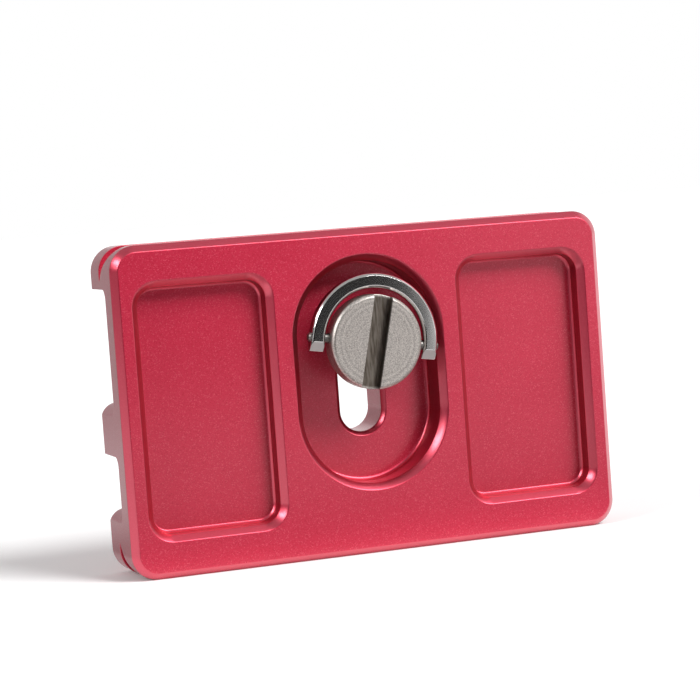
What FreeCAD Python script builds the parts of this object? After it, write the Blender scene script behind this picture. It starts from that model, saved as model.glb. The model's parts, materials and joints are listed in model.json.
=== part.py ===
"""Cable clamp plate for a camera.

A milled plate stands on one long edge, with its screw side towards -Y and its camera seat towards +Y.
Cables lie in channels in the camera seat and bend round a post in each. A captive screw with a folding
finger ring holds the plate to the camera, and both long edges are cut as a dovetail for a tripod clamp.
"""
import FreeCAD, Part
import math
import os
import Sketcher

SIZES = (
    # plate blank
    ("plate_length", 60.0),
    ("plate_width", 38.0),
    ("plate_thickness", 10.0),
    ("corner_radius", 3.0),
    ("edge_chamfer", 0.8),
    # dovetail grooves along both long edges
    ("dovetail_depth", 3.85),
    ("dovetail_lip", 4.0),
    ("dovetail_angle", 45.0),
    # shallow pockets at both ends of the screw side
    ("pocket_end_border", 2.9),
    ("pocket_side_border", 4.95),
    ("pocket_rib", 3.5),
    ("pocket_depth", 2.6),
    ("pocket_corner_radius", 2.2),
    ("pocket_floor_chamfer", 0.3),
    # recess for the screw head and its ring
    ("recess_clearance", 0.5),
    ("recess_top_border", 3.8),
    ("recess_bottom_border", 8.2),
    ("recess_depth", 4.3),
    ("recess_floor_radius", 0.5),
    ("rim_chamfer", 0.8),
    # slot in the recess floor
    ("neck_clearance", 0.15),
    ("slot_drop", 0.2),
    ("slot_chamfer", 0.5),
    # cable channels in the camera seat
    ("channel_web", 1.2),
    ("channel_rib", 3.3),
    ("channel_top_wall", 1.0),
    ("channel_bottom_wall", 3.6),
    ("narrow_channel_width", 6.5),
    ("post_width", 5.9),
    ("post_gap", 6.2),
    ("channel_corner_radius", 6.0),
    ("channel_floor_radius", 1.2),
    ("mouth_radius", 2.0),
    ("mouth_angle", 68.0),
    # screw
    ("screw_drop", 0.9),
    ("screw_proud", 2.9),
    ("screw_turn", 9.0),
    ("head_diameter", 11.0),
    ("head_thickness", 2.9),
    ("head_chamfer", 0.3),
    ("thread_diameter", 6.3),
    ("neck_relief", 0.75),
    ("thread_length", 4.0),
    ("tip_setback", 0.1),
    ("thread_chamfer", 0.6),
    ("thread_clearance", 0.05),
    ("driver_slot_width", 2.2),
    ("driver_slot_depth", 1.1),
    ("driver_slot_turn", 3.8),
    # finger ring and its pins
    ("pivot_depth", 1.6),
    ("ring_gap", 0.55),
    ("ring_width", 1.65),
    ("ring_thickness", 1.6),
    ("ring_arch_rise", 0.2),
    ("ring_edge_chamfer", 0.25),
    ("leg_tail", 1.6),
    ("leg_bevel_length", 1.1),
    ("leg_bevel_depth", 0.6),
    ("pin_diameter", 1.1),
    ("pin_seat", 1.8),
    ("pin_proud", 0.3),
    ("pin_end_chamfer", 0.2),
    ("pin_press_clearance", 0.01),
    ("pin_running_clearance", 0.03),
)
CUT_MARGIN = 2.0
EDGE_TOLERANCE = 1e-4

# sketch point names
START, END, CENTRE = range(1, 4)
X_AXIS, Y_AXIS = range(-1, -3, -1)
ORIGIN = (X_AXIS, START)

# the part's origin lies under the middle of its depth, from the screw head's face to the camera seat
FRONT_Y = "(dims.screw_proud - dims.plate_thickness) / 2"
HEAD_RADIUS = "dims.head_diameter / 2"
NECK_RADIUS = "(dims.thread_diameter / 2 - dims.neck_relief)"
RING_INNER = f"({HEAD_RADIUS} + dims.ring_gap)"
RING_OUTER = f"({RING_INNER} + dims.ring_width)"

# the recess takes the ring and its pins folded down at any turn of the screw
RECESS_RADIUS = f"({RING_OUTER} + dims.pin_proud + dims.recess_clearance)"
RECESS_LOW_Z = f"(dims.recess_bottom_border + {RECESS_RADIUS})"
RECESS_HIGH_Z = f"(dims.plate_width - dims.recess_top_border - {RECESS_RADIUS})"
SCREW_Z = f"({RECESS_HIGH_Z} - dims.screw_drop)"

doc = FreeCAD.newDocument("cable_clamp_plate")


def make_sheet():
    sheet = doc.addObject("Spreadsheet::Sheet", "dims")
    for row, (alias, number) in enumerate(SIZES, 1):
        sheet.set(f"A{row}", alias)
        sheet.set(f"B{row}", str(number))
        sheet.setAlias(f"B{row}", alias)
    doc.recompute()
    return sheet


dims = make_sheet()


def size(expression):
    """The number that an expression of the sheet's sizes comes to."""
    return float(dims.evalExpression(expression.replace("dims.", "")))


def line(start, end):
    return Part.LineSegment(FreeCAD.Vector(*start, 0), FreeCAD.Vector(*end, 0))


def arc(centre, radius, first_degree, last_degree):
    circle = Part.Circle(FreeCAD.Vector(*centre, 0), FreeCAD.Vector(0, 0, 1), radius)
    return Part.ArcOfCircle(circle, math.radians(first_degree), math.radians(last_degree))


def new_body(name):
    body = doc.addObject("PartDesign::Body", name)
    body.Label = name
    return body


def origin_feature(body, role):
    return next(item for item in body.Origin.OriginFeatures if item.Role == role)


def new_sketch(body, name, role, offset=None):
    sketch = body.newObject("Sketcher::SketchObject", name)
    sketch.AttachmentSupport = [(origin_feature(body, role), "")]
    sketch.MapMode = "FlatFace"
    if offset:
        sketch.setExpression("AttachmentOffset.Base.z", offset)
    return sketch


def drive(sketch, name, expression, kind, *points):
    """Dimension a sketch and tie the dimension to an expression of the sheet's sizes."""
    index = sketch.addConstraint(Sketcher.Constraint(kind, *points, size(expression)))
    sketch.renameConstraint(index, name)
    sketch.setExpression(f"Constraints.{name}", expression)


def add_outline(sketch, pieces, keep_level=True):
    """Add a closed outline: each piece is its curve, whether it runs backwards, and whether it runs
    on smoothly into the next. Level and upright lines are kept so unless the curves already do it."""
    ids = [sketch.addGeometry(curve, False) for curve, _, _ in pieces]
    for place, (curve, backwards, smooth) in enumerate(pieces):
        follower = (place + 1) % len(pieces)
        leaves = START if backwards else END
        enters = END if pieces[follower][1] else START
        kind = "Tangent" if smooth else "Coincident"
        sketch.addConstraint(Sketcher.Constraint(kind, ids[place], leaves, ids[follower], enters))
        if keep_level and isinstance(curve, Part.LineSegment):
            run = curve.EndPoint - curve.StartPoint
            if abs(run.y) < EDGE_TOLERANCE:
                sketch.addConstraint(Sketcher.Constraint("Horizontal", ids[place]))
            elif abs(run.x) < EDGE_TOLERANCE:
                sketch.addConstraint(Sketcher.Constraint("Vertical", ids[place]))
    return ids


def add_rounded_rectangle(sketch, label, left, right, bottom, top, radius):
    """A rectangle with four equal round corners; its sides are expressions, measured from the origin."""
    x0, x1, y0, y1, r = (size(item) for item in (left, right, bottom, top, radius))
    ids = add_outline(sketch, [
        (line((x0 + r, y0), (x1 - r, y0)), False, True),
        (arc((x1 - r, y0 + r), r, 270, 360), False, True),
        (line((x1, y0 + r), (x1, y1 - r)), False, True),
        (arc((x1 - r, y1 - r), r, 0, 90), False, True),
        (line((x1 - r, y1), (x0 + r, y1)), False, True),
        (arc((x0 + r, y1 - r), r, 90, 180), False, True),
        (line((x0, y1 - r), (x0, y0 + r)), False, True),
        (arc((x0 + r, y0 + r), r, 180, 270), False, True),
    ])
    bottom_id, corner_id, right_id, _, top_id, _, left_id, _ = ids
    for other in ids[3::2]:
        sketch.addConstraint(Sketcher.Constraint("Equal", corner_id, other))
    drive(sketch, f"{label}_radius", radius, "Radius", corner_id)
    for name, expression, kind, line_id in (
        ("left", left, "DistanceX", left_id),
        ("right", right, "DistanceX", right_id),
        ("bottom", bottom, "DistanceY", bottom_id),
        ("top", top, "DistanceY", top_id),
    ):
        place_from_origin(sketch, f"{label}_{name}", expression, kind, (line_id, START))


def place_from_origin(sketch, name, expression, kind, point):
    """Set a point's distance from the origin along one axis, on whichever side the expression says."""
    value = size(expression)
    if abs(value) < EDGE_TOLERANCE:
        axis = Y_AXIS if kind == "DistanceX" else X_AXIS
        sketch.addConstraint(Sketcher.Constraint("PointOnObject", *point, axis))
    elif value > 0:
        drive(sketch, name, expression, kind, *ORIGIN, *point)
    else:
        drive(sketch, name, f"-({expression})", kind, *point, *ORIGIN)


def add_obround(sketch, label, radius, lower, upper):
    """An upright slot outline; its arc centres lie on the sketch's upright axis at two heights."""
    r, y0, y1 = (size(item) for item in (radius, lower, upper))
    ids = add_outline(sketch, [
        (line((r, y0), (r, y1)), False, True),
        (arc((0, y1), r, 0, 180), False, True),
        (line((-r, y1), (-r, y0)), False, True),
        (arc((0, y0), r, 180, 360), False, True),
    ], keep_level=False)
    _, upper_id, _, lower_id = ids
    sketch.addConstraint(Sketcher.Constraint("Equal", upper_id, lower_id))
    for arc_id in (upper_id, lower_id):
        sketch.addConstraint(Sketcher.Constraint("PointOnObject", arc_id, CENTRE, Y_AXIS))
    drive(sketch, f"{label}_radius", radius, "Radius", upper_id)
    drive(sketch, f"{label}_lower", lower, "DistanceY", *ORIGIN, lower_id, CENTRE)
    drive(sketch, f"{label}_upper", upper, "DistanceY", *ORIGIN, upper_id, CENTRE)


def add_circle(sketch, label, radius, across, up):
    curve = Part.Circle(FreeCAD.Vector(size(across), size(up), 0), FreeCAD.Vector(0, 0, 1), size(radius))
    circle_id = sketch.addGeometry(curve, False)
    drive(sketch, f"{label}_radius", radius, "Radius", circle_id)
    place_from_origin(sketch, f"{label}_across", across, "DistanceX", (circle_id, CENTRE))
    place_from_origin(sketch, f"{label}_up", up, "DistanceY", (circle_id, CENTRE))


def pad(body, name, sketch, length, reverse=False, symmetric=False):
    feature = body.newObject("PartDesign::Pad", name)
    feature.Profile = sketch
    feature.SideType = "Symmetric" if symmetric else "One side"
    feature.Reversed = reverse
    feature.setExpression("Length", length)
    doc.recompute()
    return feature


def cut(body, name, sketch, depth=None, reverse=False, symmetric=False):
    """Pocket a sketch into the body, right through where no depth is given."""
    before = body.Tip.Shape.Volume
    feature = body.newObject("PartDesign::Pocket", name)
    feature.Profile = sketch
    feature.SideType = "Symmetric" if symmetric else "One side"
    feature.Reversed = reverse
    if depth:
        feature.setExpression("Length", depth)
    else:
        feature.Type = "ThroughAll"
    doc.recompute()
    if not feature.Shape.Volume < before - EDGE_TOLERANCE:
        raise ValueError(f"{name} removes nothing")
    return feature


def edges_within(shape, low, high):
    """Names of the edges that lie wholly inside a box given by two corners."""
    names = []
    for number, edge in enumerate(shape.Edges, 1):
        box = edge.BoundBox
        lows = (box.XMin, box.YMin, box.ZMin)
        highs = (box.XMax, box.YMax, box.ZMax)
        if all(a >= b - EDGE_TOLERANCE for a, b in zip(lows, low)):
            if all(a <= b + EDGE_TOLERANCE for a, b in zip(highs, high)):
                names.append(f"Edge{number}")
    return names


def dress(body, kind, name, edges, amount):
    """Chamfer or round the named edges of the body as it stands."""
    if not edges:
        raise ValueError(f"{name} finds no edges")
    base = body.Tip
    feature = body.newObject(f"PartDesign::{kind}", name)
    feature.Base = (base, edges)
    feature.setExpression("Size" if kind == "Chamfer" else "Radius", amount)
    doc.recompute()
    return feature


def mirror(body, name, originals):
    feature = body.newObject("PartDesign::Mirrored", name)
    feature.Originals = originals
    feature.MirrorPlane = (origin_feature(body, "YZ_Plane"), [""])
    body.Tip = feature
    doc.recompute()
    return feature


def turn_about(axis):
    """A placement turned about an axis, ready for its angle to be driven."""
    return FreeCAD.Placement(FreeCAD.Vector(), FreeCAD.Rotation(FreeCAD.Vector(*axis), 1))


def turned_placement(body, depth_y, height_z, turn):
    """Set a body on the screw's axis, turned about it."""
    body.Placement = turn_about((0, 1, 0))
    body.setExpression("Placement.Base.y", depth_y)
    body.setExpression("Placement.Base.z", height_z)
    body.setExpression("Placement.Rotation.Angle", turn)


def cut_dovetails(body):
    """A flank at the dovetail's angle and a square rear wall, in both long edges."""
    sketch = new_sketch(body, "dovetail_profile", "YZ_Plane")
    wall = "dims.plate_thickness - dims.dovetail_lip"
    reach = f"(dims.dovetail_depth + {CUT_MARGIN})"
    flank = f"{reach} * tan(dims.dovetail_angle)"
    for label, root, outside in (
        ("lower", "dims.dovetail_depth", f"-{CUT_MARGIN}"),
        ("upper", "dims.plate_width - dims.dovetail_depth", f"dims.plate_width + {CUT_MARGIN}"),
    ):
        y_wall, z_root, z_out, run = (size(item) for item in (wall, root, outside, flank))
        wall_id, flank_id, _ = add_outline(sketch, [
            (line((y_wall, z_out), (y_wall, z_root)), False, False),
            (line((y_wall, z_root), (y_wall - run, z_out)), False, False),
            (line((y_wall - run, z_out), (y_wall, z_out)), False, False),
        ])
        place_from_origin(sketch, f"{label}_wall", wall, "DistanceX", (wall_id, END))
        place_from_origin(sketch, f"{label}_root", root, "DistanceY", (wall_id, END))
        place_from_origin(sketch, f"{label}_outside", outside, "DistanceY", (wall_id, START))
        drive(sketch, f"{label}_flank", flank, "DistanceX", flank_id, END, wall_id, START)
    cut(body, "dovetails", sketch, f"dims.plate_length + {CUT_MARGIN}", symmetric=True)


def cut_end_pockets(body):
    sketch = new_sketch(body, "end_pocket_outline", "XZ_Plane")
    outer = "(dims.plate_length / 2 - dims.pocket_end_border)"
    inner = f"({RECESS_RADIUS} + dims.pocket_rib)"
    bottom = "dims.pocket_side_border"
    top = "dims.plate_width - dims.pocket_side_border"
    radius = "dims.pocket_corner_radius"
    sides = (("right", inner, outer), ("left", f"-{outer}", f"-{inner}"))
    for label, low_x, high_x in sides:
        add_rounded_rectangle(sketch, label, low_x, high_x, bottom, top, radius)
    cut(body, "end_pockets", sketch, "dims.pocket_depth")
    for depth, amount, name in (
        ("dims.pocket_depth", "dims.pocket_floor_chamfer", "end_pocket_floors"),
        ("0", "dims.rim_chamfer", "end_pocket_rims"),
    ):
        edges = []
        for _, low_x, high_x in sides:
            low = (size(low_x), size(depth), size(bottom))
            high = (size(high_x), size(depth), size(top))
            edges += edges_within(body.Tip.Shape, low, high)
        dress(body, "Chamfer", name, edges, amount)


def cut_recess(body):
    sketch = new_sketch(body, "recess_outline", "XZ_Plane")
    add_obround(sketch, "recess", RECESS_RADIUS, RECESS_LOW_Z, RECESS_HIGH_Z)
    cut(body, "recess", sketch, "dims.recess_depth")
    radius = size(RECESS_RADIUS)
    for kind, depth, amount, name in (
        ("Fillet", "dims.recess_depth", "dims.recess_floor_radius", "recess_floor"),
        ("Chamfer", "0", "dims.rim_chamfer", "recess_rim"),
    ):
        low = (-radius, size(depth), size(RECESS_LOW_Z) - radius)
        high = (radius, size(depth), size(RECESS_HIGH_Z) + radius)
        dress(body, kind, name, edges_within(body.Tip.Shape, low, high), amount)


def cut_slot(body):
    """The slot that the screw's neck slides in, opened at its upper end to the thread's diameter."""
    half_width = f"({NECK_RADIUS} + dims.neck_clearance)"
    bottom = f"({RECESS_LOW_Z} - dims.slot_drop)"
    hole = "(dims.thread_diameter / 2 + dims.thread_clearance)"
    sketch = new_sketch(body, "slot_outline", "XZ_Plane")
    add_obround(sketch, "slot", half_width, bottom, SCREW_Z)
    cut(body, "slot", sketch)
    reach = size(half_width)
    for name, depth in (("slot_front_rim", "dims.recess_depth"), ("slot_back_rim", "dims.plate_thickness")):
        low = (-reach, size(depth), size(bottom) - reach)
        high = (reach, size(depth), size(SCREW_Z) + reach)
        dress(body, "Chamfer", name, edges_within(body.Tip.Shape, low, high), "dims.slot_chamfer")
    sketch = new_sketch(body, "thread_hole_outline", "XZ_Plane")
    add_circle(sketch, "hole", hole, "0", SCREW_Z)
    cut(body, "thread_hole", sketch)


def cut_channels(body):
    """A cable loop in the seat: a wide and a narrow mouth in the end, joined round a post."""
    sketch = new_sketch(body, "channel_outline", "XZ_Plane", "-dims.plate_thickness")
    end = "dims.plate_length / 2"
    outside = f"{end} + {CUT_MARGIN}"
    far_wall = f"({RECESS_RADIUS} + dims.channel_rib)"
    post_centre = f"({far_wall} + dims.post_gap + dims.post_width / 2)"
    top = "(dims.plate_width - dims.dovetail_depth - dims.channel_top_wall)"
    bottom = "(dims.dovetail_depth + dims.channel_bottom_wall)"
    post_bottom = f"({bottom} + dims.narrow_channel_width)"
    post_top = f"({post_bottom} + dims.post_width)"
    depth = "(dims.plate_thickness - dims.pocket_depth - dims.channel_web)"
    mouth_run = "dims.mouth_radius * sin(dims.mouth_angle)"

    x_out, x_far, x_post = -size(outside), -size(far_wall), -size(post_centre)
    x_mouth = -size(end) + size(mouth_run)
    z_top, z_post_top, z_post_bottom, z_bottom = (size(item) for item in (top, post_top, post_bottom, bottom))
    corner, mouth, half_post = (size(f"dims.{item}") for item in (
        "channel_corner_radius", "mouth_radius", "post_width / 2"))
    turn = 90 + size("dims.mouth_angle")
    drop = mouth * (1 - math.cos(math.radians(turn - 90)))

    ids = add_outline(sketch, [
        (line((x_out, z_bottom - drop), (-size(end), z_bottom - drop)), False, False),
        (arc((x_mouth, z_bottom - mouth), mouth, 90, turn), True, True),
        (line((x_mouth, z_bottom), (x_far - corner, z_bottom)), False, True),
        (arc((x_far - corner, z_bottom + corner), corner, 270, 360), False, True),
        (line((x_far, z_bottom + corner), (x_far, z_top - corner)), False, True),
        (arc((x_far - corner, z_top - corner), corner, 0, 90), False, True),
        (line((x_far - corner, z_top), (x_out, z_top)), False, False),
        (line((x_out, z_top), (x_out, z_post_top - drop)), False, False),
        (line((x_out, z_post_top - drop), (-size(end), z_post_top - drop)), False, False),
        (arc((x_mouth, z_post_top - mouth), mouth, 90, turn), True, True),
        (line((x_mouth, z_post_top), (x_post, z_post_top)), False, True),
        (arc((x_post, z_post_top - half_post), half_post, 270, 450), True, True),
        (line((x_post, z_post_bottom), (x_out, z_post_bottom)), False, False),
        (line((x_out, z_post_bottom), (x_out, z_bottom - drop)), False, False),
    ])
    (low_lead, low_mouth, low_wall, low_corner, far_id, top_corner, top_wall, outer_line,
     post_lead, post_mouth, post_upper, post_end, post_lower, _) = ids

    sketch.addConstraint(Sketcher.Constraint("Equal", low_corner, top_corner))
    sketch.addConstraint(Sketcher.Constraint("Equal", low_mouth, post_mouth))
    drive(sketch, "corner_radius", "dims.channel_corner_radius", "Radius", low_corner)
    drive(sketch, "mouth_radius", "dims.mouth_radius", "Radius", low_mouth)
    for name, expression, point in (
        ("outside", outside, (outer_line, START)),
        ("far_wall", far_wall, (far_id, START)),
        ("post_centre", post_centre, (post_end, CENTRE)),
        ("low_end", end, (low_lead, END)),
        ("post_lead_end", end, (post_lead, END)),
        ("low_mouth_start", f"{end} - {mouth_run}", (low_wall, START)),
        ("post_mouth_start", f"{end} - {mouth_run}", (post_upper, START)),
    ):
        drive(sketch, name, expression, "DistanceX", *point, *ORIGIN)
    for name, expression, line_id in (
        ("top", top, top_wall),
        ("post_top", post_top, post_upper),
        ("post_bottom", post_bottom, post_lower),
        ("bottom", bottom, low_wall),
    ):
        drive(sketch, name, expression, "DistanceY", *ORIGIN, line_id, START)
    sketch.addConstraint(Sketcher.Constraint("Vertical", outer_line, START, low_lead, START))

    left = cut(body, "left_channel", sketch, depth, reverse=True)
    mirror(body, "both_channels", [left])

    floor = size(f"dims.plate_thickness - {depth}")
    clear_end = size(end) - EDGE_TOLERANCE * 10
    edges = []
    for name in edges_within(
        body.Tip.Shape,
        (-size(end), floor, z_bottom - mouth),
        (size(end), floor, z_top),
    ):
        box = body.Tip.Shape.getElement(name).BoundBox
        on_end_face = box.XMin > clear_end or box.XMax < -clear_end
        between_channels = abs(box.Center.x) < -x_far - corner
        if not on_end_face and not between_channels:
            edges.append(name)
    dress(body, "Fillet", "channel_floors", edges, "dims.channel_floor_radius")


def make_plate():
    body = new_body("plate")
    outline = new_sketch(body, "plate_outline", "XZ_Plane")
    half = "dims.plate_length / 2"
    add_rounded_rectangle(outline, "plate", f"-{half}", half, "0", "dims.plate_width", "dims.corner_radius")
    pad(body, "blank", outline, "dims.plate_thickness", reverse=True)
    front = edges_within(body.Tip.Shape, (-size(half), 0, 0), (size(half), 0, size("dims.plate_width")))
    dress(body, "Chamfer", "front_edge", front, "dims.edge_chamfer")
    cut_dovetails(body)
    cut_end_pockets(body)
    cut_recess(body)
    cut_slot(body)
    cut_channels(body)
    body.setExpression("Placement.Base.y", FRONT_Y)
    return body


def make_screw():
    """Slotted head, reduced neck and thread, turned in one; the axis runs along Y from the head's face."""
    body = new_body("camera_screw")
    profile = new_sketch(body, "screw_profile", "XY_Plane")
    head_end = "dims.head_thickness"
    tip = "(dims.screw_proud + dims.plate_thickness - dims.tip_setback)"
    neck_end = f"({tip} - dims.thread_length)"
    radii = (HEAD_RADIUS, NECK_RADIUS, "dims.thread_diameter / 2")
    head, neck, thread = (size(item) for item in radii)
    y_head, y_neck, y_tip = (size(item) for item in (head_end, neck_end, tip))
    corners = [(0, 0), (head, 0), (head, y_head), (neck, y_head), (neck, y_neck), (thread, y_neck),
               (thread, y_tip), (0, y_tip)]
    sides = [(line(start, end), False, False) for start, end in zip(corners, corners[1:] + corners[:1])]
    ids = add_outline(profile, sides)
    profile.addConstraint(Sketcher.Constraint("Coincident", ids[0], START, *ORIGIN))
    for name, expression, line_id in zip(("head", "neck", "thread"), radii, (ids[1], ids[3], ids[5])):
        drive(profile, f"{name}_radius", expression, "DistanceX", *ORIGIN, line_id, END)
    for name, expression, line_id in (("head_end", head_end, ids[1]), ("neck_end", neck_end, ids[3]),
                                      ("tip", tip, ids[5])):
        drive(profile, name, expression, "DistanceY", *ORIGIN, line_id, END)
    turned = body.newObject("PartDesign::Revolution", "turned_blank")
    turned.Profile = profile
    turned.ReferenceAxis = (profile, ["V_Axis"])
    doc.recompute()

    rims = []
    for radius, depth in ((head, 0), (head, y_head)):
        rims += edges_within(body.Tip.Shape, (-radius, depth, -radius), (radius, depth, radius))
    rims = [name for name in rims if body.Tip.Shape.getElement(name).BoundBox.XMax > head - EDGE_TOLERANCE]
    dress(body, "Chamfer", "head_rims", rims, "dims.head_chamfer")
    ends = []
    for depth in (y_neck, y_tip):
        ends += edges_within(body.Tip.Shape, (-thread, depth, -thread), (thread, depth, thread))
    ends = [name for name in ends if body.Tip.Shape.getElement(name).BoundBox.XMax > thread - EDGE_TOLERANCE]
    dress(body, "Chamfer", "thread_ends", ends, "dims.thread_chamfer")

    sketch = new_sketch(body, "driver_slot_outline", "XZ_Plane")
    sketch.AttachmentOffset = turn_about((0, 0, 1))
    sketch.setExpression("AttachmentOffset.Rotation.Angle", "-dims.driver_slot_turn")
    half_slot = "dims.driver_slot_width / 2"
    half_run = f"{HEAD_RADIUS} + {CUT_MARGIN}"
    x, z = size(half_slot), size(half_run)
    across_id, up_id, _, _ = add_outline(sketch, [
        (line((-x, -z), (x, -z)), False, False),
        (line((x, -z), (x, z)), False, False),
        (line((x, z), (-x, z)), False, False),
        (line((-x, z), (-x, -z)), False, False),
    ])
    drive(sketch, "slot_left", half_slot, "DistanceX", across_id, START, *ORIGIN)
    drive(sketch, "slot_right", half_slot, "DistanceX", *ORIGIN, across_id, END)
    drive(sketch, "slot_bottom", half_run, "DistanceY", up_id, START, *ORIGIN)
    drive(sketch, "slot_top", half_run, "DistanceY", *ORIGIN, up_id, END)
    cut(body, "driver_slot", sketch, "dims.driver_slot_depth")

    sketch = new_sketch(body, "pin_hole_outline", "YZ_Plane", f"{HEAD_RADIUS} - dims.pin_seat")
    add_circle(sketch, "pin", "dims.pin_diameter / 2 + dims.pin_press_clearance", "dims.pivot_depth", "0")
    hole = cut(body, "pin_hole", sketch, f"dims.pin_seat + {CUT_MARGIN}", reverse=True)
    mirror(body, "pin_holes", [hole])
    turned_placement(body, f"{FRONT_Y} - dims.screw_proud", SCREW_Z, "dims.screw_turn")
    return body


def make_ring():
    """A half-round finger ring with straight legs; the pivot axis runs along X through the origin."""
    body = new_body("d_ring")
    sketch = new_sketch(body, "ring_outline", "XZ_Plane")
    inner, outer = size(RING_INNER), size(RING_OUTER)
    rise, tail = size("dims.ring_arch_rise"), size("dims.leg_tail")
    ids = add_outline(sketch, [
        (line((outer, -tail), (outer, rise)), False, True),
        (arc((0, rise), outer, 0, 180), False, True),
        (line((-outer, rise), (-outer, -tail)), False, False),
        (line((-outer, -tail), (-inner, -tail)), False, False),
        (line((-inner, -tail), (-inner, rise)), False, True),
        (arc((0, rise), inner, 0, 180), True, True),
        (line((inner, rise), (inner, -tail)), False, False),
        (line((inner, -tail), (outer, -tail)), False, False),
    ])
    _, outer_arc, left_leg, left_foot, _, inner_arc, right_leg, _ = ids
    sketch.addConstraint(Sketcher.Constraint("Coincident", outer_arc, CENTRE, inner_arc, CENTRE))
    sketch.addConstraint(Sketcher.Constraint("PointOnObject", outer_arc, CENTRE, Y_AXIS))
    sketch.addConstraint(Sketcher.Constraint("Horizontal", left_leg, END, right_leg, END))
    drive(sketch, "outer", RING_OUTER, "Radius", outer_arc)
    drive(sketch, "inner", RING_INNER, "Radius", inner_arc)
    drive(sketch, "rise", "dims.ring_arch_rise", "DistanceY", *ORIGIN, outer_arc, CENTRE)
    drive(sketch, "tail", "dims.leg_tail", "DistanceY", left_foot, START, *ORIGIN)
    pad(body, "ring_blank", sketch, "dims.ring_thickness", symmetric=True)

    half = size("dims.ring_thickness / 2")
    crown = rise + outer
    edges = []
    for y in (-half, half):
        edges += edges_within(body.Tip.Shape, (-outer, y, -tail), (outer, y, crown))
    long_edges = [name for name in edges
                  if body.Tip.Shape.getElement(name).BoundBox.ZMax > -tail + EDGE_TOLERANCE]
    dress(body, "Chamfer", "ring_edges", long_edges, "dims.ring_edge_chamfer")

    sketch = new_sketch(body, "leg_bevel_outline", "YZ_Plane")
    foot = f"(dims.leg_tail + {CUT_MARGIN})"
    slope = "dims.leg_bevel_depth / dims.leg_bevel_length"
    face = f"(dims.ring_thickness / 2 + {CUT_MARGIN} * {slope})"
    bevel_top = f"(dims.leg_tail - dims.leg_bevel_length - {CUT_MARGIN})"
    deep = f"(dims.ring_thickness / 2 - dims.leg_bevel_depth - {CUT_MARGIN} * {slope})"
    for label, side in (("front", "-"), ("back", "")):
        y_face, y_deep = size(f"{side}{face}"), size(f"{side}{deep}")
        z_top, z_foot = -size(bevel_top), -size(foot)
        upright_id, _, bevel_id = add_outline(sketch, [
            (line((y_face, z_top), (y_face, z_foot)), False, False),
            (line((y_face, z_foot), (y_deep, z_foot)), False, False),
            (line((y_deep, z_foot), (y_face, z_top)), False, False),
        ])
        place_from_origin(sketch, f"{label}_face", f"{side}{face}", "DistanceX", (upright_id, START))
        place_from_origin(sketch, f"{label}_deep", f"{side}{deep}", "DistanceX", (bevel_id, START))
        place_from_origin(sketch, f"{label}_top", f"-{bevel_top}", "DistanceY", (upright_id, START))
        place_from_origin(sketch, f"{label}_foot", f"-{foot}", "DistanceY", (upright_id, END))
    cut(body, "leg_bevels", sketch, f"2 * {RING_OUTER} + {CUT_MARGIN}", symmetric=True)

    sketch = new_sketch(body, "pivot_hole_outline", "YZ_Plane")
    add_circle(sketch, "pivot", "dims.pin_diameter / 2 + dims.pin_running_clearance", "0", "0")
    cut(body, "pivot_holes", sketch, f"2 * {RING_OUTER} + {CUT_MARGIN}", symmetric=True)
    turned_placement(body, f"{FRONT_Y} - dims.screw_proud + dims.pivot_depth", SCREW_Z, "dims.screw_turn")
    return body


def make_pin(name, turn):
    """A pin along +X from its seat in the head to a bevelled end outside the ring's leg."""
    body = new_body(name)
    inside = f"({HEAD_RADIUS} - dims.pin_seat)"
    sketch = new_sketch(body, f"{name}_outline", "YZ_Plane", inside)
    add_circle(sketch, "pin", "dims.pin_diameter / 2", "0", "0")
    pad(body, f"{name}_blank", sketch, f"{RING_OUTER} + dims.pin_proud - {inside}")
    end = size(RING_OUTER) + size("dims.pin_proud")
    radius = size("dims.pin_diameter / 2")
    rim = edges_within(body.Tip.Shape, (end, -radius, -radius), (end, radius, radius))
    dress(body, "Chamfer", f"{name}_end", rim, "dims.pin_end_chamfer")
    turned_placement(body, f"{FRONT_Y} - dims.screw_proud + dims.pivot_depth", SCREW_Z, turn)
    return body


def check(bodies):
    """Stop before anything is written if a feature failed or a sub-part is not one sound solid."""
    doc.recompute()
    for item in doc.Objects:
        if "Invalid" in item.State or "Error" in item.State:
            raise ValueError(f"{item.Name} failed: {item.State}")
    for body in bodies:
        shape = body.Shape
        if shape.isNull() or not shape.isValid() or len(shape.Solids) != 1:
            raise ValueError(f"{body.Label} is not one sound solid")


def main():
    bodies = [
        make_plate(),
        make_screw(),
        make_ring(),
        make_pin("pivot_pin_right", "dims.screw_turn"),
        make_pin("pivot_pin_left", "dims.screw_turn + 180"),
    ]
    check(bodies)
    os.makedirs("parts", exist_ok=True)
    for body in bodies:
        body.Shape.exportStep(f"parts/{body.Label}.step")
        box = body.Shape.BoundBox
        print(f"{body.Label}: {body.Shape.Volume:.1f} mm3, X {box.XMin:.2f} {box.XMax:.2f}, "
              f"Y {box.YMin:.2f} {box.YMax:.2f}, Z {box.ZMin:.2f} {box.ZMax:.2f}")


main()
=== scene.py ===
"""Looks of the cable clamp plate: its finishes, broken edges, studio light and camera."""
import json
import math

import bpy
from mathutils import Matrix, Vector


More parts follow.
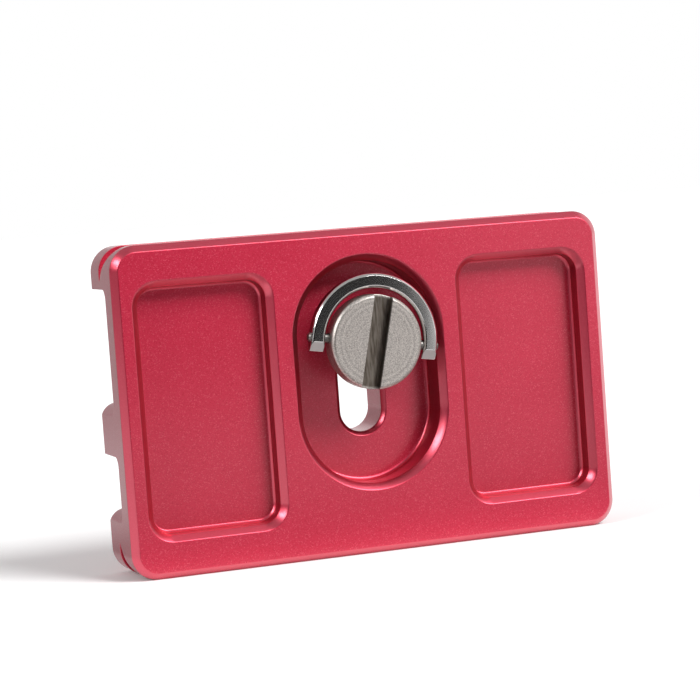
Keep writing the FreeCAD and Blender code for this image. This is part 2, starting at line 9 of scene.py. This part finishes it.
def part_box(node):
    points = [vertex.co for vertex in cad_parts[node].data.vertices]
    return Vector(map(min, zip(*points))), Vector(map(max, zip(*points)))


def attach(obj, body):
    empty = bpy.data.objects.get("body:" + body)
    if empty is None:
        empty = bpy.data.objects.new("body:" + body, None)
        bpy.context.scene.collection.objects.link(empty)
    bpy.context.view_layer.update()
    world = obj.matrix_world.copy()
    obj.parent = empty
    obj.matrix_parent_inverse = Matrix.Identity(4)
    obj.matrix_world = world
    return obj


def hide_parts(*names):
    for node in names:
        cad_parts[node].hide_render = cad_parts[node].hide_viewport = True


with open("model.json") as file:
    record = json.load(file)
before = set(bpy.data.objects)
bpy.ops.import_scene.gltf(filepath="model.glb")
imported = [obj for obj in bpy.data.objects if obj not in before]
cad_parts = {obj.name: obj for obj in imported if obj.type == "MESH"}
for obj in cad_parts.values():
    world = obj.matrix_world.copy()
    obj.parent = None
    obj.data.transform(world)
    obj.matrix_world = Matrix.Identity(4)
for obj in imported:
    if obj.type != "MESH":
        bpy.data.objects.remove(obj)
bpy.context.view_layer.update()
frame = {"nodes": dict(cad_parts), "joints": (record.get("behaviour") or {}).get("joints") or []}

MM = 0.001
JOINTS = {joint["name"]: joint for joint in frame["joints"]}
SCREW_AXIS = Vector(JOINTS["screw_turn"]["pos_m"])
PLATE_LOW, PLATE_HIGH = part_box("plate")
PLATE_FRONT_MIDDLE = Vector((0, PLATE_LOW.y, (PLATE_LOW.z + PLATE_HIGH.z) / 2))

# the photograph's view, measured from the middle of the plate's front face
CAMERA_AIM = Vector((-2.45, 0, 4.986)) * MM
CAMERA_DISTANCE = 276.48 * MM
CAMERA_YAW = math.radians(19.043)
CAMERA_PITCH = math.radians(3.774)
CAMERA_ROLL = math.radians(-4.17)
CAMERA_LENS = 122.79
CAMERA_SENSOR = 36
CAMERA_CLIP_START = 0.01

# the light from all round, and each lamp's direction from the plate, strength and angular width
WORLD_LIGHT = 0.40
SOFT_LIGHTS = {
    "main": ((0.44, -0.59, 0.68), 3.05, math.radians(30)),
    "edge": ((-0.81, -0.32, 0.49), 1.2, math.radians(25)),
}
FLOOR_SIZE = 8
FLOOR_TONE = 0.97

# toned cards about the plate, which only the metal shows:
# a corner and two sides in mm, and the tone
CARDS = {
    "dark_side": ((-430, -190, 0.5), (478, 0, 0), (0, -110, 260), 0.02),
    "dark_left": ((-440, -190, 0.5), (0, 340, 0), (0, 0, 260), 0.10),
    "ring_flag": ((50, -245, 0.5), (51, 0, 0), (0, -5, 56), 0.04),
    "dim_floor": ((-430, -185, 0.3), (300, 0, 0), (0, 106, 0), 0.12),
    "dark_floor": ((-125, -185, 0.3), (100, 0, 0), (0, 127, 0), 0.05),
    "grey_front": ((-40, -55, 0.3), (110, 0, 0), (0, 46, 0), 0.40),
    "grey_back": ((-420, 150, 0.5), (420, 0, 0), (0, 110, 260), 0.35),
    "back_floor": ((-300, 12, 0.3), (268, 0, 0), (0, 136, 0), 0.62),
    "grey_right": ((-20, -300, 70), (520, 0, 0), (0, -40, 200), 0.25),
    "right_floor": ((72, -240, 0.3), (330, 0, 0), (0, 230, 0), 0.45),
    "grey_top": ((-250, -330, 290), (550, 0, 0), (0, 450, 0), 0.40),
}
# how far each vertex of a plane lies along its card's two sides
CARD_CORNERS = ((0, 0), (1, 0), (0, 1), (1, 1))

# edge breaks left by tumbling and polishing
EDGE_BREAKS = {
    "plate": 0.09 * MM,
    "camera_screw": 0.11 * MM,
    "d_ring": 0.07 * MM,
    "pivot_pin_left": 0.04 * MM,
    "pivot_pin_right": 0.04 * MM,
}
EDGE_SEGMENTS = 2
MERGE_DISTANCE = 0.001 * MM
FLAT_ANGLE = math.radians(0.3)

# the least turn of a real edge on each node; what turns less is a facet of a round face
SHARP_ANGLES = {
    "plate": math.radians(40),
    "camera_screw": math.radians(25),
    "d_ring": math.radians(20),
    "pivot_pin_left": math.radians(25),
    "pivot_pin_right": math.radians(25),
}

# the plate's kinds of face, by |normal Y|: where each kind begins and where it is full
FLAT_FACES = (0.88, 0.97)
CUT_FACES_FROM_WALLS = (0.42, 0.58)
CUT_FACES_FROM_FLATS = (0.94, 0.84)
WALL_FACES = (0.42, 0.22)

# the driver slot on the screw: its turn, and where its darker colour begins and is full;
# mouth and floor are depths below the head's face, ends are distances from the axis
HEAD_FACE_TO_PIVOT = SCREW_AXIS.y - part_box("camera_screw")[0].y
DRIVER_SLOT_TURN = math.radians(12.8)
DRIVER_SLOT_MOUTH = (0.1 * MM, 0.4 * MM)
DRIVER_SLOT_FLOOR = (1.5 * MM, 1.2 * MM)
DRIVER_SLOT_ENDS = (5.4 * MM, 5.1 * MM)

# the screw's quarter-inch camera thread, which the CAD node has as a plain chamfered cylinder
THREAD_RADIUS = 3.15 * MM
THREAD_ROOT_RADIUS = 2.50 * MM
THREAD_PITCH = 1.27 * MM
THREAD_LENGTH = 4.05 * MM
THREAD_CHAMFER = 0.6 * MM
# the shares of the pitch that are flat at the crest and at the root
THREAD_CREST = 0.14
THREAD_ROOT = 0.16
THREAD_SEGMENTS = 80
THREAD_ROWS = 64
# how far the rest of the screw reaches into the threaded end
THREAD_SHOULDER = 0.03 * MM

# the colours that each finish mixes
DYE_DARK = (0.58, 0.027, 0.068)
DYE_PALE = (0.65, 0.035, 0.082)
# painted shade: the colour painted into the blast's pits
PAINTED_SHADE_IN_PITS = (0.42, 0.007, 0.026)
# painted highlight: the colour of the glints painted onto the blasted faces
PAINTED_GLINT = (0.90, 0.20, 0.28)
DYE_ON_GRAIN = (0.82, 0.07, 0.12)
# painted shade: the colour that walls, ends and sides are darkened towards
PAINTED_SHADE_ON_WALLS = (0.20, 0.005, 0.016)
FACED_STEEL_DARK = (0.32, 0.288, 0.268)
FACED_STEEL_PALE = (0.69, 0.635, 0.595)
SLOT_STEEL_DARK = (0.11, 0.090, 0.072)
SLOT_STEEL_PALE = (0.25, 0.215, 0.185)
POLISHED_STEEL_DARK = (0.58, 0.56, 0.55)
POLISHED_STEEL_PALE = (0.74, 0.72, 0.71)
GROUND_STEEL_DARK = (0.13, 0.122, 0.114)
GROUND_STEEL_PALE = (0.24, 0.228, 0.215)

# how many marks of each texture there are to a metre
BLAST_GRAIN = 5600
BEAD_MARKS = 10500
DYE_CLOUDS = 130
FACED_GRAIN = 6800
TURNING_RINGS = 3200
SLOT_DRAG = (3600, 3600, 480)
HANDLING_MARKS = 700
POLISH_HAZE = 260
GROUND_GRAIN = 6000

# how deep each texture goes
BLAST_DEPTH = 0.013 * MM
FACED_DEPTH = 0.010 * MM
GROUND_DEPTH = 0.004 * MM


class Value:
    """A number that varies over a surface; arithmetic on it adds Math nodes to its finish."""

    def __init__(self, finish, socket):
        self.finish = finish
        self.socket = socket

    def math(self, operation, first, second=0.0):
        return self.finish.node("ShaderNodeMath", {"operation": operation}, {0: first, 1: second})

    def __add__(self, other):
        return self.math("ADD", self, other)

    def __sub__(self, other):
        return self.math("SUBTRACT", self, other)

    def __mul__(self, other):
        return self.math("MULTIPLY", self, other)

    def __rsub__(self, other):
        return self.math("SUBTRACT", other, self)

    __radd__ = __add__
    __rmul__ = __mul__

    def absolute(self):
        return self.math("ABSOLUTE", self)

    def ramp(self, low, high):
        """0 below low, 1 above high and a smooth step between; low may be the greater."""
        settings = {"interpolation_type": "SMOOTHSTEP"}
        return self.finish.node("ShaderNodeMapRange", settings, {"Value": self, 1: low, 2: high})


class Finish:
    """A material whose nodes are added one call at a time round a Principled BSDF."""

    def __init__(self, name, **constants):
        self.material = bpy.data.materials.new(name)
        self.material.use_nodes = True
        self.nodes = self.material.node_tree.nodes
        self.links = self.material.node_tree.links
        self.shader = self.nodes["Principled BSDF"]
        self.drive(**constants)

    def node(self, kind, settings=None, inputs=None, output=0):
        node = self.nodes.new(kind)
        for name, setting in (settings or {}).items():
            setattr(node, name, setting)
        for socket, given in (inputs or {}).items():
            self.feed(node.inputs[socket], given)
        return Value(self, node.outputs[output])

    def feed(self, socket, given):
        if isinstance(given, Value):
            self.links.new(given.socket, socket)
        else:
            socket.default_value = given

    def drive(self, **sockets):
        """Feeds the shader's sockets, which are named with underscores for spaces."""
        for socket, given in sockets.items():
            self.feed(self.shader.inputs[socket.replace("_", " ")], given)

    def place(self):
        return self.node("ShaderNodeTexCoord", output="Object")

    def noise(self, scale, detail=2.0, roughness=0.5):
        return self.node("ShaderNodeTexNoise", None, {
            "Vector": self.place(), "Scale": scale, "Detail": detail, "Roughness": roughness})

    def vector(self, operation, first, second=(0, 0, 0), output=0):
        settings = {"operation": operation}
        return self.node("ShaderNodeVectorMath", settings, {0: first, 1: second}, output)

    def channel(self, given, name, kind="ShaderNodeSeparateColor"):
        return self.node(kind, None, {0: given}, output=name)

    def blend(self, low, mask, high):
        settings = {"data_type": "RGBA"}
        return self.node("ShaderNodeMix", settings, {"Factor": mask, 6: low, 7: high}, output=2)

    def colour(self, mask, low, high):
        return self.blend((*low, 1), mask, (*high, 1))

    def tint(self, under, mask, over):
        return self.blend(under, mask, (*over, 1))

    def bump(self, height, distance):
        return self.node("ShaderNodeBump", None, {"Height": height, "Distance": distance})


def red_anodised():
    """Bead-blasted aluminium, dyed and sealed, with slanted faces cut bright after the blasting."""
    finish = Finish("red_anodised", Metallic=1.0, Coat_Roughness=0.23, Coat_IOR=1.7)
    normal = finish.node("ShaderNodeNewGeometry", output="True Normal")
    facing = finish.channel(normal, "Y", "ShaderNodeSeparateXYZ").absolute()
    flat = facing.ramp(*FLAT_FACES)
    cut = facing.ramp(*CUT_FACES_FROM_WALLS) * facing.ramp(*CUT_FACES_FROM_FLATS)
    wall = facing.ramp(*WALL_FACES)
    blasted = 1 - 0.8 * cut
    grain = finish.noise(BLAST_GRAIN, detail=4.0, roughness=0.7)
    cloud = finish.noise(DYE_CLOUDS, detail=3.0)
    bead = finish.node("ShaderNodeTexVoronoi", None,
                       {"Vector": finish.place(), "Scale": BEAD_MARKS}, output="Color")
    glint = finish.channel(bead, "Red").ramp(0.80, 1.0)
    pit = finish.channel(bead, "Green").ramp(0.72, 1.0)
    dye_and_painted_light = finish.colour(cloud, DYE_DARK, DYE_PALE)
    # painted shade: darker specks in the blast's pits
    dye_and_painted_light = finish.tint(dye_and_painted_light, 0.38 * pit * blasted, PAINTED_SHADE_IN_PITS)
    # painted glints: bright specks on the blasted faces stand in for light glancing off the blast's
    # facets
    dye_and_painted_light = finish.tint(dye_and_painted_light, 0.28 * glint * blasted, PAINTED_GLINT)
    dye_and_painted_light = finish.tint(dye_and_painted_light, 0.22 * grain.ramp(0.52, 0.75), DYE_ON_GRAIN)
    # painted shade: faces that stand across the front, such as the walls of the recess and pockets,
    # are darkened
    dye_and_painted_light = finish.tint(dye_and_painted_light, 0.55 * wall, PAINTED_SHADE_ON_WALLS)
    # the base colour: the dye, with painted glints and painted shade
    finish.drive(Base_Color=dye_and_painted_light)
    finish.drive(Roughness=0.47 + 0.14 * (grain - 0.5) + 0.12 * flat - 0.14 * cut)
    finish.drive(Coat_Weight=0.55 + 0.45 * cut + 0.35 * wall)
    finish.drive(Normal=finish.bump(grain * blasted, BLAST_DEPTH))
    return finish.material


def turned_steel():
    """Faced and turned stainless steel: fine rings about the axis, and a driver slot coloured
    darker.
    """
    finish = Finish("screw_steel", Metallic=1.0)
    offset = finish.vector("SUBTRACT", finish.place(), SCREW_AXIS)
    across = finish.vector("MULTIPLY", offset, (1, 0, 1))
    radius = finish.vector("LENGTH", across, output="Value")
    rings = finish.node("ShaderNodeTexNoise", {"noise_dimensions": "1D"},
                        {"W": radius, "Scale": TURNING_RINGS, "Detail": 3.0})
    grain = finish.noise(FACED_GRAIN, detail=4.0, roughness=0.75)
    depth = finish.channel(offset, "Y", "ShaderNodeSeparateXYZ") + HEAD_FACE_TO_PIVOT
    in_slot = depth.ramp(*DRIVER_SLOT_MOUTH) * radius.ramp(*DRIVER_SLOT_ENDS)
    in_slot = in_slot * depth.ramp(*DRIVER_SLOT_FLOOR)
    along = finish.node("ShaderNodeMapping", None, {
        "Vector": offset, "Rotation": (0, -DRIVER_SLOT_TURN, 0), "Scale": SLOT_DRAG})
    drag = finish.node("ShaderNodeTexNoise", None, {"Vector": along, "Scale": 1.0, "Detail": 4.0})
    tone = 0.84 * grain + 0.16 * rings
    face = finish.colour(tone.ramp(0.36, 0.64), FACED_STEEL_DARK, FACED_STEEL_PALE)
    slot = finish.colour(drag.ramp(0.3, 0.7), SLOT_STEEL_DARK, SLOT_STEEL_PALE)
    finish.drive(Base_Color=finish.blend(face, in_slot, slot))
    finish.drive(Roughness=0.42 + 0.16 * (grain - 0.5) - 0.06 * in_slot)
    finish.drive(Normal=finish.bump(0.15 * rings + 0.85 * grain, FACED_DEPTH))
    return finish.material


def polished_steel():
    """Bright polished steel with a trace of handling marks and haze."""
    finish = Finish("ring_steel", Metallic=1.0)
    marks = finish.noise(HANDLING_MARKS, detail=3.0, roughness=0.6)
    haze = finish.noise(POLISH_HAZE)
    finish.drive(Base_Color=finish.colour(marks, POLISHED_STEEL_DARK, POLISHED_STEEL_PALE))
    finish.drive(Roughness=0.07 + 0.04 * haze)
    return finish.material


def ground_steel():
    """Dull ground pin stock."""
    finish = Finish("pin_steel", Metallic=1.0)
    grain = finish.noise(GROUND_GRAIN)
    finish.drive(Base_Color=finish.colour(grain, GROUND_STEEL_DARK, GROUND_STEEL_PALE))
    finish.drive(Roughness=0.30 + 0.12 * grain)
    finish.drive(Normal=finish.bump(grain, GROUND_DEPTH))
    return finish.material


def matte(name, tone):
    """A plain grey with no sheen, for the floor and the cards."""
    finish = Finish(name, Base_Color=(tone, tone, tone, 1), Roughness=1.0, Specular_IOR_Level=0.0)
    return finish.material


def finished_copy(node, body, material, cut_at=None):
    """A copy of a CAD node with its sharp edges broken, which then stands for the node.

    Where cut_at is given, the copy ends at that place along Y.
    """
    piece = bpy.data.objects.new(f"{node}_finished", frame["nodes"][node].data.copy())
    bpy.context.collection.objects.link(piece)
    bpy.ops.object.select_all(action="DESELECT")
    piece.select_set(True)
    bpy.context.view_layer.objects.active = piece
    bpy.ops.mesh.customdata_custom_splitnormals_clear()
    bpy.ops.object.mode_set(mode="EDIT")
    bpy.ops.mesh.select_all(action="SELECT")
    bpy.ops.mesh.remove_doubles(threshold=MERGE_DISTANCE)
    bpy.ops.mesh.dissolve_limited(angle_limit=FLAT_ANGLE)
    if cut_at is not None:
        bpy.ops.mesh.select_all(action="SELECT")
        bpy.ops.mesh.bisect(plane_co=(0, cut_at, 0), plane_no=(0, 1, 0), use_fill=True,
                            clear_outer=True, threshold=MERGE_DISTANCE)
    bpy.ops.object.mode_set(mode="OBJECT")
    edges = piece.modifiers.new("broken_edges", "BEVEL")
    edges.width = EDGE_BREAKS[node]
    edges.segments = EDGE_SEGMENTS
    edges.limit_method = "ANGLE"
    edges.angle_limit = SHARP_ANGLES[node]
    edges.use_clamp_overlap = False
    bpy.ops.object.modifier_apply(modifier=edges.name)
    keep_in_box(piece, *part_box(node))
    bpy.ops.object.shade_smooth_by_angle(angle=SHARP_ANGLES[node])
    weighting = piece.modifiers.new("flat_faces_stay_flat", "WEIGHTED_NORMAL")
    weighting.keep_sharp = True
    bpy.ops.object.modifier_apply(modifier=weighting.name)
    piece.data.materials.clear()
    piece.data.materials.append(material)
    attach(piece, body)
    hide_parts(node)
    return piece


def keep_in_box(piece, low, high):
    """Draws in the few vertices that a broken edge leaves outside the CAD node's box."""
    for vertex in piece.data.vertices:
        vertex.co = [min(max(place, least), most)
                     for place, least, most in zip(vertex.co, low, high)]


def thread_radius(along, angle):
    """The thread's radius at a place along it and a turn about it, within its end chamfers."""
    phase = (along / THREAD_PITCH - angle / math.tau) % 1
    from_root = abs(2 * phase - 1)
    height = (from_root - THREAD_ROOT) / (1 - THREAD_ROOT - THREAD_CREST)
    radius = THREAD_ROOT_RADIUS + (THREAD_RADIUS - THREAD_ROOT_RADIUS) * min(max(height, 0), 1)
    return min(radius, THREAD_RADIUS - THREAD_CHAMFER + min(along, THREAD_LENGTH - along))


def add_thread(screw, tip):
    """Joins a threaded end to the screw: a cylinder in rows, drawn in along a right-hand helix."""
    start = tip - THREAD_LENGTH
    middle = (SCREW_AXIS.x, start + THREAD_LENGTH / 2, SCREW_AXIS.z)
    bpy.ops.object.select_all(action="DESELECT")
    bpy.ops.mesh.primitive_cylinder_add(
        vertices=THREAD_SEGMENTS, radius=THREAD_RADIUS, depth=THREAD_LENGTH,
        location=middle, rotation=(math.radians(90), 0, 0))
    thread = bpy.context.object
    bpy.ops.object.transform_apply(location=True, rotation=True, scale=True)
    bpy.ops.object.mode_set(mode="EDIT")
    bpy.ops.mesh.select_mode(type="EDGE")
    bpy.ops.mesh.select_all(action="DESELECT")
    bpy.ops.object.mode_set(mode="OBJECT")
    for edge in thread.data.edges:
        near, far = (thread.data.vertices[index].co for index in edge.vertices)
        edge.select = abs(far.y - near.y) > THREAD_LENGTH / 2
    bpy.ops.object.mode_set(mode="EDIT")
    bpy.ops.mesh.subdivide(number_cuts=THREAD_ROWS - 1)
    bpy.ops.object.mode_set(mode="OBJECT")
    for vertex in thread.data.vertices:
        across = Vector((vertex.co.x - SCREW_AXIS.x, 0, vertex.co.z - SCREW_AXIS.z))
        turn = math.atan2(across.x, across.z)
        across *= thread_radius(vertex.co.y - start, turn) / across.length
        vertex.co = Vector((SCREW_AXIS.x, vertex.co.y, SCREW_AXIS.z)) + across
    bpy.ops.object.shade_smooth_by_angle(angle=SHARP_ANGLES["camera_screw"])
    thread.data.materials.append(screw.data.materials[0])
    screw.select_set(True)
    bpy.context.view_layer.objects.active = screw
    bpy.ops.object.join()


def make_camera():
    level = math.cos(CAMERA_PITCH)
    back = Vector((-math.sin(CAMERA_YAW) * level, -math.cos(CAMERA_YAW) * level,
                   math.sin(CAMERA_PITCH)))
    right = (-back).cross(Vector((0, 0, 1))).normalized()
    up = right.cross(-back)
    rolled_right = right * math.cos(CAMERA_ROLL) + up * math.sin(CAMERA_ROLL)
    rolled_up = up * math.cos(CAMERA_ROLL) - right * math.sin(CAMERA_ROLL)
    place = PLATE_FRONT_MIDDLE + CAMERA_AIM + back * CAMERA_DISTANCE
    bpy.ops.object.camera_add()
    camera = bpy.context.object
    camera.data.lens = CAMERA_LENS
    camera.data.sensor_width = CAMERA_SENSOR
    camera.data.clip_start = CAMERA_CLIP_START
    camera.matrix_world = Matrix.Translation(place) @ Matrix(
        (rolled_right, rolled_up, back)).transposed().to_4x4()
    bpy.context.scene.camera = camera


def white_to_the_eye(tree):
    """A factor that is 1 for rays that show the background: to the eye, in metal or in glass."""
    path = tree.nodes.new("ShaderNodeLightPath")
    total = path.outputs["Is Camera Ray"]
    for ray in ("Is Glossy Ray", "Is Transmission Ray"):
        join = tree.nodes.new("ShaderNodeMath")
        join.operation = "MAXIMUM"
        tree.links.new(total, join.inputs[0])
        tree.links.new(path.outputs[ray], join.inputs[1])
        total = join.outputs[0]
    return total


def make_world():
    """A background that is white to the eye and lights the plate more weakly."""
    world = bpy.data.worlds.new("studio")
    bpy.context.scene.world = world
    world.use_nodes = True
    tree = world.node_tree
    background = tree.nodes["Background"]
    background.inputs["Color"].default_value = (1, 1, 1, 1)
    strength = tree.nodes.new("ShaderNodeMix")
    tree.links.new(white_to_the_eye(tree), strength.inputs["Factor"])
    strength.inputs["A"].default_value = WORLD_LIGHT
    strength.inputs["B"].default_value = 1.0
    tree.links.new(strength.outputs["Result"], background.inputs["Strength"])


def make_soft_light(name):
    """A soft light with no fall-off, as wide as a studio soft box looks from the plate."""
    direction, strength, spread = SOFT_LIGHTS[name]
    away = Vector(direction).normalized()
    bpy.ops.object.light_add(type="SUN", location=PLATE_FRONT_MIDDLE + away)
    lamp = bpy.context.object
    lamp.name = name
    lamp.rotation_euler = away.to_track_quat("Z", "Y").to_euler()
    lamp.data.energy = strength
    lamp.data.angle = spread


def make_floor():
    bpy.ops.mesh.primitive_plane_add(size=FLOOR_SIZE, location=(0, 0, 0))
    floor = bpy.context.object
    floor.name = "floor"
    floor.data.materials.append(matte("pale_floor", FLOOR_TONE))


def make_card(name):
    """A toned card, which only the metal shows."""
    corner, first, second, tone = CARDS[name]
    bpy.ops.mesh.primitive_plane_add(size=1, location=(0, 0, 0))
    card = bpy.context.object
    card.name = name
    for vertex, (along, up) in zip(card.data.vertices, CARD_CORNERS):
        vertex.co = (Vector(corner) + along * Vector(first) + up * Vector(second)) * MM
    card.data.materials.append(matte(name, tone))
    card.visible_camera = False
    card.visible_diffuse = False
    card.visible_shadow = False
    card.visible_transmission = False


def main():
    finished_copy("plate", "plate", red_anodised())
    screw_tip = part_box("camera_screw")[1].y
    screw = finished_copy("camera_screw", "screw", turned_steel(),
                          cut_at=screw_tip - THREAD_LENGTH + THREAD_SHOULDER)
    add_thread(screw, screw_tip)
    finished_copy("d_ring", "ring", polished_steel())
    pin_finish = ground_steel()
    for pin in ("pivot_pin_left", "pivot_pin_right"):
        finished_copy(pin, "screw", pin_finish)
    make_camera()
    make_world()
    make_floor()
    for card in CARDS:
        make_card(card)
    for light in SOFT_LIGHTS:
        make_soft_light(light)
    bpy.context.scene.view_settings.view_transform = "Standard"


main()
